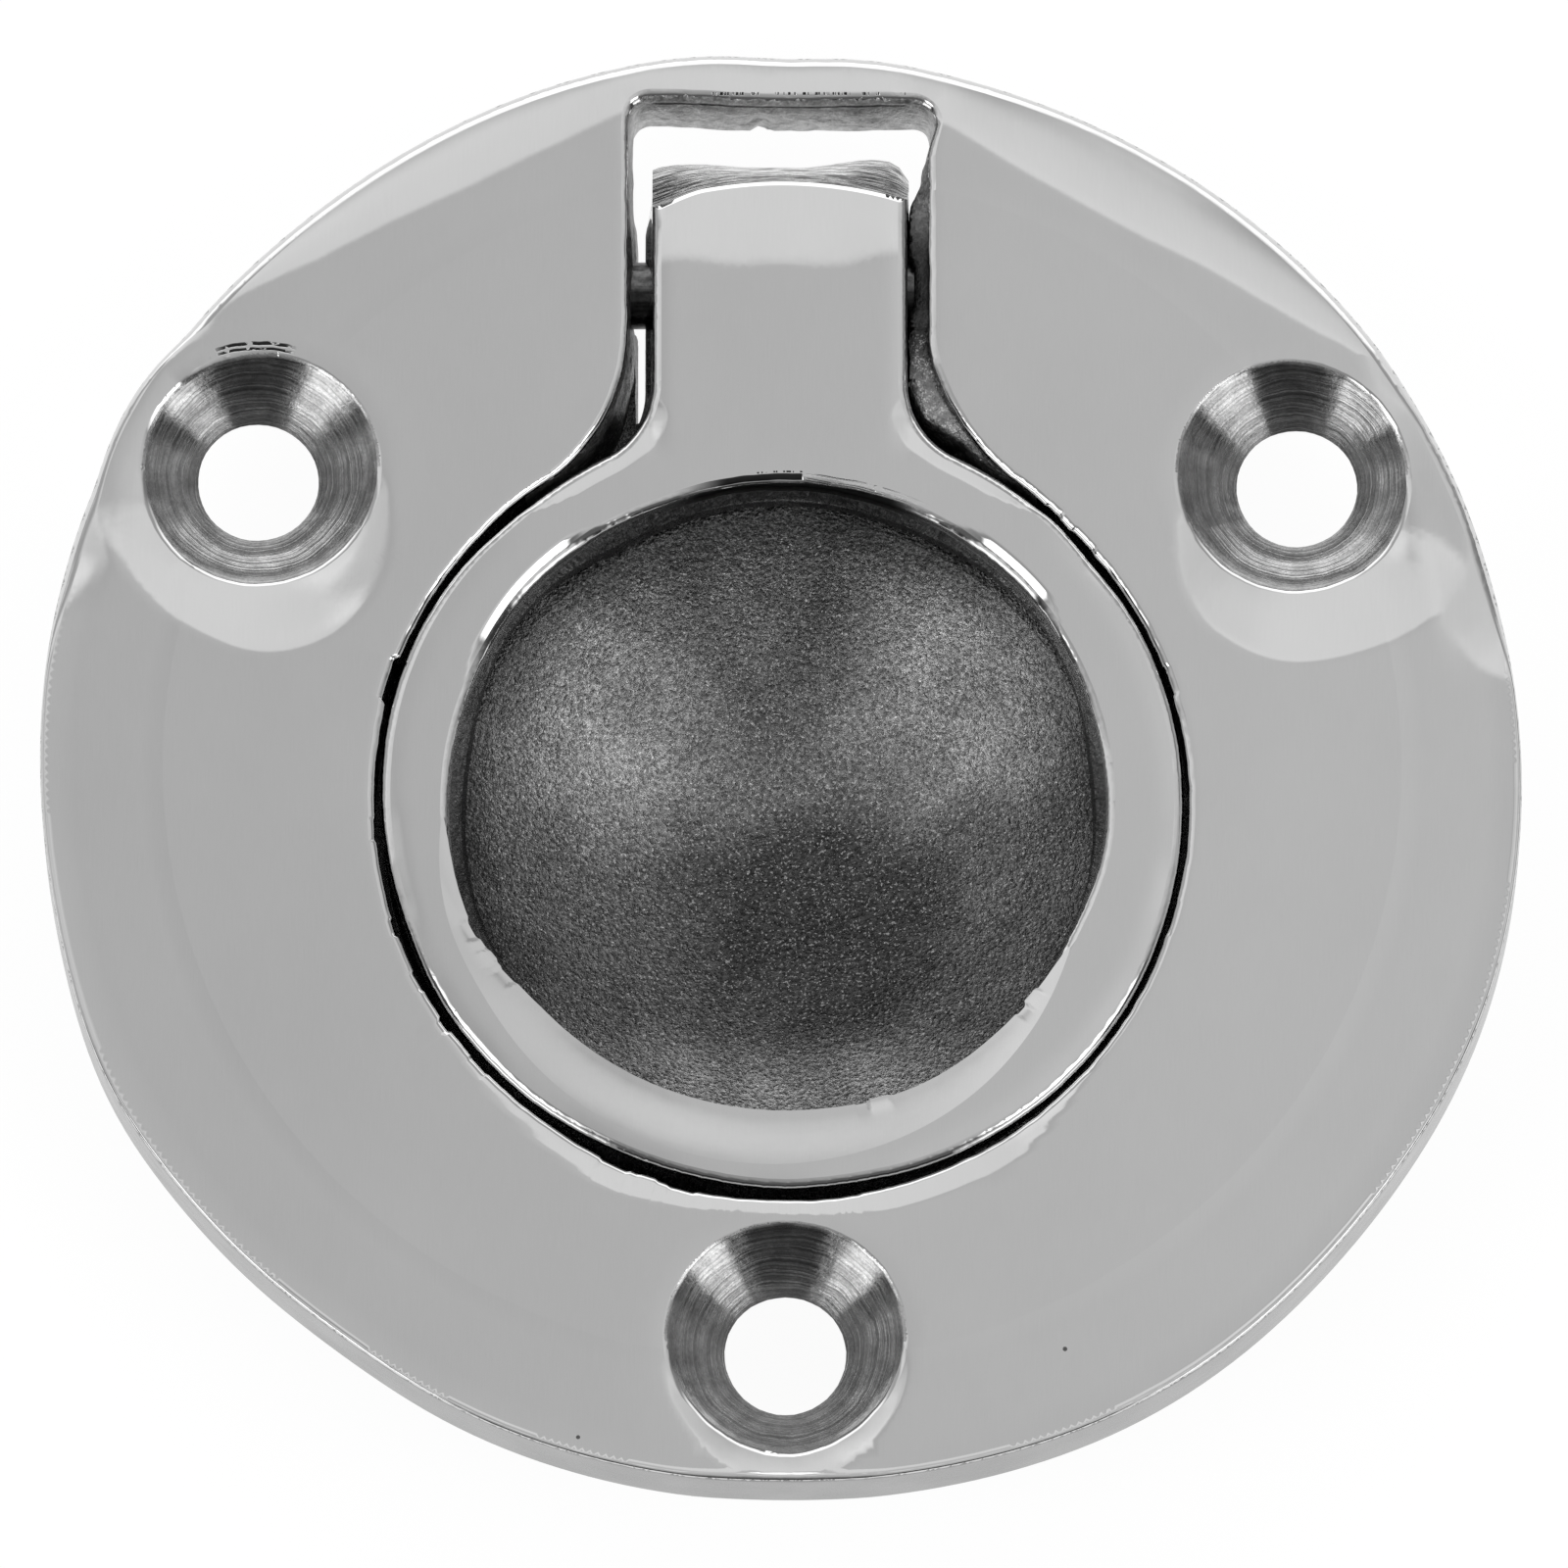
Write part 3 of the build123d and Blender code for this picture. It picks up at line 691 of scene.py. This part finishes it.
class Finish:
    """A metal material, written as short steps. Lengths in it are millimetres of the piece itself."""

    def __init__(self, name, grey, rough):
        self.material = bpy.data.materials.new(name)
        self.material.use_nodes = True
        self.tree = self.material.node_tree
        self.shader = self.tree.nodes["Principled BSDF"]
        self.shader.inputs["Metallic"].default_value = 1.0
        self.shader.inputs["Base Color"].default_value = (grey, grey, grey, 1)
        self.shader.inputs["Roughness"].default_value = rough
        coord = self.node("TexCoord")
        scale = self.node("VectorMath")
        scale.operation = "SCALE"
        scale.inputs["Scale"].default_value = 1 / MM
        self.link(coord.outputs["Object"], scale.inputs[0])
        self.place = scale.outputs[0]
        self.normal = None

    def link(self, a, b):
        self.tree.links.new(a, b)

    def put(self, value, socket):
        if isinstance(value, (int, float)):
            socket.default_value = value
        else:
            self.link(value, socket)

    def node(self, kind):
        return self.tree.nodes.new("ShaderNode" + kind)

    def math(self, op, *values):
        node = self.node("Math")
        node.operation = op
        for i, value in enumerate(values):
            self.put(value, node.inputs[i])
        return node.outputs[0]

    def times(self, *values):
        total = values[0]
        for value in values[1:]:
            total = self.math("MULTIPLY", total, value)
        return total

    def line(self, value, slope, start):
        """Value times slope plus start."""
        return self.math("MULTIPLY_ADD", value, slope, start)

    def vector(self, op, a, b=None):
        node = self.node("VectorMath")
        node.operation = op
        self.link(a, node.inputs[0])
        if isinstance(b, tuple):
            node.inputs[1].default_value = b
        elif b is not None:
            self.link(b, node.inputs[1])
        return node.outputs["Value"] if op in ("LENGTH", "DOT_PRODUCT") else node.outputs["Vector"]

    def ramp(self, value, low, high, to_low, to_high):
        node = self.node("MapRange")
        node.interpolation_type = "SMOOTHSTEP"
        self.link(value, node.inputs["Value"])
        for key, number in (("From Min", low), ("From Max", high), ("To Min", to_low), ("To Max", to_high)):
            node.inputs[key].default_value = number
        return node.outputs["Result"]

    def rise(self, value, low, high):
        """From nothing at low to one at high."""
        return self.ramp(value, low, high, 0.0, 1.0)

    def fall(self, value, low, high):
        """From one at low to nothing at high."""
        return self.ramp(value, low, high, 1.0, 0.0)

    def window(self, value, a, b, c, d):
        """One between b and c, falling to nothing at a and d."""
        return self.times(self.rise(value, a, b), self.fall(value, c, d))

    def span(self, cloud, low, high):
        """Stretches a noise, which runs from about 0.3 to 0.7, from low to high."""
        return self.ramp(cloud, 0.3, 0.7, low, high)

    def parts(self, vector):
        node = self.node("SeparateXYZ")
        self.link(vector, node.inputs[0])
        return node.outputs

    def around(self, x, y, stretch=(1.0, 1.0, 0.0)):
        """Where a point stands from the upright line through x and y."""
        return self.vector("MULTIPLY", self.vector("SUBTRACT", self.place, (x, y, 0.0)), stretch)

    def off(self, x, y, stretch=(1.0, 1.0, 0.0)):
        """Distance from that line."""
        return self.vector("LENGTH", self.around(x, y, stretch))

    def cloud(self, grain, detail=2.0, place=None, rough=0.5, stretch=None, output="Fac"):
        """Noise from about 0.3 to 0.7 with grains of the given size. Output Color gives three at once."""
        where = self.place if place is None else place
        if stretch:
            where = self.vector("MULTIPLY", where, stretch)
        node = self.node("TexNoise")
        node.inputs["Scale"].default_value = 1 / grain
        node.inputs["Detail"].default_value = detail
        node.inputs["Roughness"].default_value = rough
        self.link(where, node.inputs["Vector"])
        return node.outputs[output]

    def bands(self, value, width, detail, rough=0.5):
        """Noise along one value, with bands of about the given width."""
        node = self.node("TexNoise")
        node.noise_dimensions = "1D"
        node.inputs["Scale"].default_value = 1 / width
        node.inputs["Detail"].default_value = detail
        node.inputs["Roughness"].default_value = rough
        self.link(value, node.inputs["W"])
        return node.outputs["Fac"]

    def cells(self, size):
        node = self.node("TexVoronoi")
        node.inputs["Scale"].default_value = 1 / size
        self.link(self.place, node.inputs["Vector"])
        return node

    def bump(self, height, depth):
        """Raises the surface by height times depth, in millimetres."""
        node = self.node("Bump")
        node.inputs["Strength"].default_value = 1.0
        node.inputs["Distance"].default_value = depth * MM
        self.link(height, node.inputs["Height"])
        if self.normal is not None:
            self.link(self.normal, node.inputs["Normal"])
        self.normal = node.outputs["Normal"]

    def color(self, value):
        node = self.node("CombineColor")
        for i in range(3):
            self.link(value, node.inputs[i])
        self.link(node.outputs[0], self.shader.inputs["Base Color"])

    def rough(self, value):
        self.link(value, self.shader.inputs["Roughness"])

    def done(self):
        if self.normal is not None:
            self.link(self.normal, self.shader.inputs["Normal"])
        return self.material


def polished_steel(name, chatter):
    m = Finish(name, 0.64, 0.08)
    slow = m.cloud(6.0, 3.0)
    fine = m.cloud(0.35, 3.0)
    # a few pinholes of the casting that polishing opened
    spots = m.cells(3.6)
    chosen = m.node("SeparateColor")
    m.link(spots.outputs["Color"], chosen.inputs[0])
    gate = m.rise(chosen.outputs[0], 0.80, 0.82)
    size = m.line(chosen.outputs[1], 0.016, 0.012)
    near = m.math("LESS_THAN", spots.outputs["Distance"], size)
    pit = m.times(gate, near)
    # faint buffing lines, mostly along one direction
    lines = m.cloud(1.0, 2.0, stretch=(30.0, 0.9, 1.0))
    marks = chatter(m)
    grey = m.line(m.math("SUBTRACT", slow, 0.5), 0.05, 0.66)
    grey = m.line(m.math("SUBTRACT", lines, 0.5), 0.03, grey)
    grey = m.times(grey, m.line(pit, -0.8, 1.0))
    m.color(m.times(grey, m.line(marks, -0.96, 1.0)))
    rough = m.math("ADD", m.span(fine, 0.055, 0.085), m.times(pit, 0.5))
    m.rough(m.line(marks, 0.25, rough))
    m.bump(m.cloud(1.6, 2.0), 0.004)
    m.bump(fine, 0.0006)
    m.bump(lines, 0.00015)
    m.bump(m.times(pit, -1.0), 0.02)
    m.bump(marks, -0.015)
    return m.done()


def base_chatter(m):
    """Tool chatter over the slot and round the far edge of the upper left sink."""
    x, y, z = m.parts(m.place)
    ticks = m.rise(m.cloud(0.11, 1.0, stretch=(1.0, 0.08, 0.08)), 0.50, 0.56)
    groups = m.rise(m.cloud(0.55, 1.0, stretch=(1.0, 0.1, 0.1)), 0.47, 0.53)
    line = m.window(y, 25.92, 25.94, 26.02, 26.05)
    over = m.times(m.window(x, -3.0, -2.6, 4.4, 4.9), line, ticks, groups)
    off = m.around(*sink_places()[2])
    ox, oy, _ = m.parts(off)
    away = m.line(m.cloud(0.6, 2.0), 0.12, m.vector("LENGTH", off))
    arc = m.times(m.window(ox, -1.9, -1.2, 1.0, 1.5), m.rise(oy, 3.4, 3.8), m.rise(z, 2.3, 2.5))
    arcs = m.math("ADD", m.window(away, 4.60, 4.63, 4.70, 4.73), m.window(away, 4.78, 4.81, 4.90, 4.95))
    breaks = m.rise(m.cloud(0.35, 2.0), 0.40, 0.48)
    return m.math("ADD", over, m.times(arc, arcs, breaks))


def ring_chatter(m):
    """Tool marks on the far lip of the bore: two dark arcs with a clean line between, then finer scores."""
    x, y, z = m.parts(m.place)
    length = m.off(0.1, RING_Y)
    away = m.line(m.cloud(1.2, 2.0), 0.07, length)
    near = m.times(m.rise(y, 7.0, 8.0), m.rise(z, 2.2, 2.4))
    upper = m.times(m.window(x, -4.2, -2.0, 0.72, 0.80), m.window(away, 12.42, 12.45, 12.66, 12.69))
    lower = m.times(m.window(x, -5.0, -3.0, 4.0, 6.0), m.window(away, 12.08, 12.12, 12.33, 12.36))
    bands = m.bands(m.line(m.cloud(1.6, 1.0), 0.35, length), 1 / 14, 1.0)
    scores = m.times(m.rise(bands, 0.48, 0.54), m.ramp(m.cloud(0.5, 2.0), 0.38, 0.46, 0.0, 0.8))
    scores = m.times(scores, m.window(x, 0.74, 0.82, 3.2, 5.6), m.window(away, 12.2, 12.25, 12.66, 12.7))
    ticks = m.rise(m.cloud(0.09, 0.0, stretch=(1.0, 0.05, 0.05)), 0.50, 0.54)
    ticks = m.times(ticks, m.window(x, -1.0, -0.9, 0.72, 0.8), m.window(away, 12.70, 12.72, 12.76, 12.79))
    arcs = m.math("MAXIMUM", upper, lower)
    return m.times(near, m.math("MAXIMUM", arcs, m.math("MAXIMUM", scores, ticks)))


def dark_casting_painted_light():
    """Peened and cast surface: small bright pebbles, with lighter and darker patches, painted shade in the
    middle and under the ring's edge, painted light to the south and in two patches at the upper left and
    right, and painted glints.
    """
    m = Finish("dark_casting_painted_light", 0.2, 0.3)
    sway = m.vector("MULTIPLY", m.cloud(1.3, output="Color"), (0.25, 0.25, 0.25))
    bent = m.vector("ADD", m.place, sway)
    pebble = m.cloud(0.16, 3.0, place=bent, rough=0.6)
    grain = m.cloud(0.075, 1.0, rough=0.6)
    lumps = m.cloud(0.6, 2.0)
    patch = m.cloud(2.8, 3.0)
    y = m.parts(m.place)[1]
    middle = m.off(1.4, -4.2, (1.0, 1.1, 0.0))
    wide = m.off(0.0, RING_Y)
    grey = m.span(patch, 0.12, 0.18)
    # painted shade: darker in the middle of the bowl
    grey = m.times(grey, m.ramp(middle, 3.0, 6.6, 0.42, 1.0))
    # painted light: two lighter patches, at the upper left and the upper right of the bowl
    for spot in ((-7.6, 3.2), (6.9, 4.6)):
        far = m.off(*spot)
        grey = m.times(grey, m.ramp(far, 1.0, 6.5, 2.3, 1.0))
    # painted shade: darker towards the ring's inner edge, where the ring overhangs the bowl
    grey = m.times(grey, m.ramp(wide, 10.2, 11.9, 1.0, 0.62))
    # painted light: lighter towards the south end of the bowl
    grey = m.times(grey, m.ramp(y, -12.0, -8.0, 2.5, 1.0))
    grey = m.times(grey, m.ramp(pebble, 0.36, 0.64, 0.62, 1.42))
    # painted glints, fewer towards the ring's inner edge
    glint = m.times(m.rise(m.cloud(0.10, 1.0), 0.60, 0.68), m.ramp(wide, 11.0, 12.0, 1.0, 0.2))
    m.color(m.line(glint, 0.26, grey))
    m.rough(m.span(grain, 0.16, 0.30))
    m.bump(lumps, 0.05)
    m.bump(pebble, 0.095)
    m.bump(grain, 0.02)
    return m.done()


def slot_casting():
    """Rough cast walls of the slot, with painted shade on the side walls and painted glints."""
    m = Finish("slot_casting", 0.3, 0.45)
    lumps = m.cloud(0.5, 4.0, rough=0.65)
    grain = m.cloud(0.14, 2.0, rough=0.7)
    x, y, z = m.parts(m.place)
    grey = m.times(m.span(lumps, 0.20, 0.34), m.span(grain, 0.75, 1.25))
    grey = m.times(grey, m.ramp(y, 24.4, 25.2, 1.0, 1.65))
    # the side walls get painted shade low down, and the far wall has a bright step under a dark line
    side = m.fall(y, 23.6, 24.6)
    shade = m.math("ADD", m.line(lumps, 1.6, z), m.ramp(y, 13.5, 16.5, 0.55, 0.0))
    # less painted shade on the far part of the left wall
    less_painted_shade = m.ramp(m.times(m.fall(x, -1.0, 1.0), y), 19.0, 20.5, 1.0, 0.35)
    painted_shade = m.times(side, m.fall(shade, 2.6, 3.9), less_painted_shade)
    # painted shade on the right wall, along the middle of the slot
    right = m.times(m.rise(x, 3.0, 4.0), m.window(y, 13.8, 16.8, 19.8, 22.4))
    painted_shade = m.math("MAXIMUM", painted_shade, right)
    grey = m.times(grey, m.line(painted_shade, -0.84, 1.0))
    # painted glints on the side walls, near the pocket
    glint = m.rise(m.cloud(0.08, 1.0), 0.54, 0.62)
    sparks = m.times(glint, m.rise(lumps, 0.44, 0.56), side, m.fall(y, 15.5, 17.5))
    grey = m.line(sparks, 0.3, grey)
    level = m.line(m.cloud(0.9, 2.0, stretch=(1.0, 0.1, 0.1)), 0.12, z)
    step = m.times(m.rise(y, 24.9, 25.2), m.window(x, -4.9, -4.7, 4.5, 4.7))
    line = m.times(step, m.window(level, 2.36, 2.40, 2.50, 2.54))
    strip = m.times(step, m.rise(level, 2.52, 2.56))
    grey = m.times(grey, m.line(line, -0.85, 1.0))
    m.color(m.times(grey, m.line(strip, 0.25, 1.0)))
    m.rough(m.span(grain, 0.3, 0.5))
    m.bump(lumps, 0.12)
    m.bump(grain, 0.035)
    m.bump(line, -0.05)
    return m.done()


def turned_steel():
    """Screw sinks with the rings of the tool that cut them, about the nearest sink's middle."""
    m = Finish("turned_steel", 0.5, 0.25)
    first, second, third = (m.off(*place) for place in sink_places())
    nearest = m.math("MINIMUM", m.math("MINIMUM", first, second), third)
    reach = m.line(m.cloud(1.7, 2.0), 0.26, nearest)
    broad = m.bands(reach, 0.42, 3.0, 0.65)
    narrow = m.bands(reach, 0.08, 2.0, 0.65)
    smear = m.cloud(0.7, 4.0, rough=0.6)
    speck = m.cloud(0.10, 2.0, rough=0.7)
    grey = m.times(m.span(broad, 0.35, 0.52), m.span(smear, 0.78, 1.16))
    m.color(m.times(grey, m.span(speck, 0.86, 1.14)))
    m.rough(m.span(narrow, 0.14, 0.28))
    m.bump(broad, 0.018)
    m.bump(narrow, 0.006)
    m.bump(smear, 0.012)
    m.bump(speck, 0.004)
    return m.done()


def ground_steel():
    """Coarse belt marks that run slantwise over the end of the tail."""
    m = Finish("ground_steel", 0.4, 0.25)
    x, y, z = m.parts(m.place)
    down = m.line(m.times(x, x), 0.045, m.math("ADD", y, m.times(z, -0.4)))
    mix = m.node("CombineXYZ")
    m.put(m.times(down, 9.0), mix.inputs[0])
    m.put(m.times(x, 0.75), mix.inputs[1])
    marks = m.cloud(1.0, 3.0, place=mix.outputs[0], rough=0.6)
    ends = m.ramp(m.math("ABSOLUTE", m.math("ADD", x, 0.1)), 2.4, 4.4, 1.0, 0.65)
    m.color(m.times(m.ramp(marks, 0.45, 0.56, 0.10, 1.0), ends))
    m.rough(m.span(marks, 0.34, 0.18))
    m.bump(marks, 0.05)
    return m.done()


def satin_casting():
    """Satin casting of the back."""
    m = Finish("satin_casting", 0.5, 0.4)
    lumps = m.cloud(0.9, 4.0, rough=0.6)
    grain = m.cloud(0.16, 2.0, rough=0.7)
    m.color(m.times(m.span(lumps, 0.40, 0.52), m.span(grain, 0.9, 1.08)))
    m.rough(m.span(grain, 0.32, 0.46))
    m.bump(lumps, 0.05)
    m.bump(grain, 0.014)
    return m.done()


def satin_edge():
    """Ground edge of the flange, duller than the face."""
    m = Finish("satin_edge", 0.4, 0.25)
    lines = m.cloud(0.8, 3.0, stretch=(0.5, 0.5, 7.0))
    slow = m.cloud(3.0, 2.0)
    m.color(m.times(m.span(lines, 0.26, 0.32), m.span(slow, 0.92, 1.08)))
    m.rough(m.span(lines, 0.18, 0.30))
    m.bump(lines, 0.004)
    return m.done()


def drawn_steel():
    """The pin: painted dark for the shade of the gap it sits in, with lines along it, and painted shade on
    its lower half.
    """
    m = Finish("drawn_steel", 0.2, 0.3)
    along = m.cloud(0.5, 3.0, stretch=(0.3, 3.0, 3.0))
    rust = m.cloud(0.22, 3.0, rough=0.65)
    y = m.parts(m.place)[1]
    grey = m.times(m.span(along, 0.08, 0.16), m.span(rust, 0.7, 1.4))
    # painted shade: the lower half of the pin is darker
    m.color(m.times(grey, m.ramp(y, HINGE_Y - 0.3, HINGE_Y + 0.1, 0.25, 1.0)))
    m.rough(m.span(along, 0.24, 0.4))
    m.bump(along, 0.008)
    m.bump(rust, 0.02)
    return m.done()


satin = satin_casting()
dark = dark_casting_painted_light()
base_face = polished_steel("polished_base", base_chatter)
for material in (base_face, dark, slot_casting(), turned_steel(), satin, satin_edge()):
    base.data.materials.append(material)
for material in (polished_steel("polished_ring", ring_chatter), ground_steel(), satin, dark):
    ring.data.materials.append(material)
cad["hinge_pin"].material_slots[0].material = drawn_steel()

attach(base, "base")
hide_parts("base_casting")
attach(ring, "ring")
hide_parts("pull_ring")


# Stage, light and camera. Lengths here are metres

FLOOR_HALF = 1.2
FLOOR_GREY = 0.12
FLOOR_GLOW = 0.92
CAMERA_TILT = math.radians(15.6)
CAMERA_AWAY = 1.2
AIM = Vector((0.07, -0.87, TOP_Z)) * MM
FRAME_WIDTH = 0.05818
SENSOR_MM = 36

floor_mesh = bpy.data.meshes.new("floor")
corners = [(sx * FLOOR_HALF, sy * FLOOR_HALF, FOOT_Z * MM) for sx, sy in ((-1, -1), (1, -1), (1, 1), (-1, 1))]
floor_mesh.from_pydata(corners, [], [(0, 1, 2, 3)])
floor = bpy.data.objects.new("floor", floor_mesh)
bpy.context.scene.collection.objects.link(floor)

paper = bpy.data.materials.new("pale_floor")
paper.use_nodes = True
pt = paper.node_tree
pt.nodes.clear()
soft = pt.nodes.new("ShaderNodeBsdfDiffuse")
soft.inputs["Color"].default_value = (FLOOR_GREY, FLOOR_GREY, FLOOR_GREY, 1)
shine = pt.nodes.new("ShaderNodeEmission")
shine.inputs["Strength"].default_value = FLOOR_GLOW
both = pt.nodes.new("ShaderNodeAddShader")
surface = pt.nodes.new("ShaderNodeOutputMaterial")
pt.links.new(soft.outputs[0], both.inputs[0])
pt.links.new(shine.outputs[0], both.inputs[1])
pt.links.new(both.outputs[0], surface.inputs["Surface"])
floor_mesh.materials.append(paper)

world = bpy.context.scene.world or bpy.data.worlds.new("studio")
bpy.context.scene.world = world
world.use_nodes = True
wt = world.node_tree
wt.nodes.clear()


def wnode(kind, **values):
    node = wt.nodes.new("ShaderNode" + kind)
    for key, value in values.items():
        setattr(node, key, value)
    return node


def wmath(op, *values):
    node = wnode("Math", operation=op)
    for i, value in enumerate(values):
        if isinstance(value, (int, float)):
            node.inputs[i].default_value = value
        else:
            wt.links.new(value, node.inputs[i])
    return node.outputs[0]


def wproduct(*values):
    total = values[0]
    for value in values[1:]:
        total = wmath("MULTIPLY", total, value)
    return total


def wdegrees(value):
    return wmath("MULTIPLY", value, 180 / math.pi)


def wstep(value, low, high):
    """From nothing at low to one at high, which may be the smaller one."""
    node = wnode("MapRange", interpolation_type="SMOOTHSTEP")
    wt.links.new(value, node.inputs["Value"])
    node.inputs["From Min"].default_value = min(low, high)
    node.inputs["From Max"].default_value = max(low, high)
    node.inputs["To Min"].default_value = 0 if low < high else 1
    node.inputs["To Max"].default_value = 1 if low < high else 0
    return node.outputs["Result"]


# Directions in degrees: to the hinge, to the right, from straight above, and round from the camera's side
sky = wnode("TexCoord")
split = wnode("SeparateXYZ")
wt.links.new(sky.outputs["Generated"], split.inputs[0])
dx, dy, dz = split.outputs
north = wdegrees(wmath("ARCTAN2", dy, dz))
east = wdegrees(wmath("ARCSINE", dx))
zen = wdegrees(wmath("ARCCOSINE", dz))
turn = wmath("ABSOLUTE", wdegrees(wmath("ARCTAN2", dx, wmath("MULTIPLY", dy, -1.0))))
aside = wmath("ABSOLUTE", east)

# A tent that is grey above, brighter to the north and dim to the sides. Each row is multiplied and added
bright = wstep(north, 22, 25.5)
flank = wmath("MULTIPLY", wstep(north, 8, 16), wstep(north, 40, 30))
level = 0.50
for patch in (
    (wstep(north, -30, 10), 0.31),
    (east, 0.016, wstep(zen, 40, 10)),
    (bright, 0.35),
    (wstep(north, 36, 46), -0.31),
    (wstep(east, 5, 20), bright, -0.30),
    (wstep(east, -12, -24), bright, -0.25),
    (wstep(east, -8, -15), flank, 0.26),
    (wstep(east, 9, 16), flank, 0.10),
    (wstep(north, 56, 72), wstep(aside, 60, 35), 1.4),
    (wstep(east, 40, 60), -0.25),
):
    level = wmath("ADD", level, wproduct(*patch))

# Dark behind the camera
behind = wmath("MULTIPLY", wstep(zen, 26, 46), wstep(turn, 96, 72))
shade = wmath("SUBTRACT", 0.17, wmath("MULTIPLY", wstep(zen, 58, 72), 0.12))
level = wmath("MULTIPLY_ADD", wmath("SUBTRACT", shade, level), behind, level)

# A bright patch each side of the camera, and a broad soft box lower down
lamp = wproduct(wstep(turn, 36, 50), wstep(turn, 88, 72), wstep(zen, 28, 36), wstep(zen, 56, 48))
level = wmath("ADD", level, wmath("MULTIPLY", lamp, 3.8))
box = wproduct(wstep(turn, 30, 38), wstep(turn, 70, 62), wstep(zen, 55, 62), wstep(zen, 89, 85))
box_level = wmath("ADD", 0.85, wmath("MULTIPLY", wstep(zen, 68, 75), 1.6))
level = wmath("ADD", level, wmath("MULTIPLY", box, box_level))

# Only the camera sees the white round the floor
background = wnode("Background")
wt.links.new(level, background.inputs["Strength"])
seen = wnode("Background")
seen.inputs["Strength"].default_value = 1.0
seen.inputs["Color"].default_value = (1, 1, 1, 1)
path = wnode("LightPath")
mix = wnode("MixShader")
wt.links.new(path.outputs["Is Camera Ray"], mix.inputs[0])
wt.links.new(background.outputs[0], mix.inputs[1])
wt.links.new(seen.outputs[0], mix.inputs[2])
result = wnode("OutputWorld")
wt.links.new(mix.outputs[0], result.inputs[0])

camera_data = bpy.data.cameras.new("camera")
camera = bpy.data.objects.new("camera", camera_data)
bpy.context.scene.collection.objects.link(camera)
camera.location = AIM + CAMERA_AWAY * Vector((0, -math.sin(CAMERA_TILT), math.cos(CAMERA_TILT)))
camera.rotation_euler = (CAMERA_TILT, 0, 0)
camera_data.sensor_width = SENSOR_MM
camera_data.lens = SENSOR_MM * CAMERA_AWAY / FRAME_WIDTH
camera_data.clip_start = 0.1
bpy.context.scene.camera = camera

bpy.context.scene.view_settings.view_transform = "Standard"
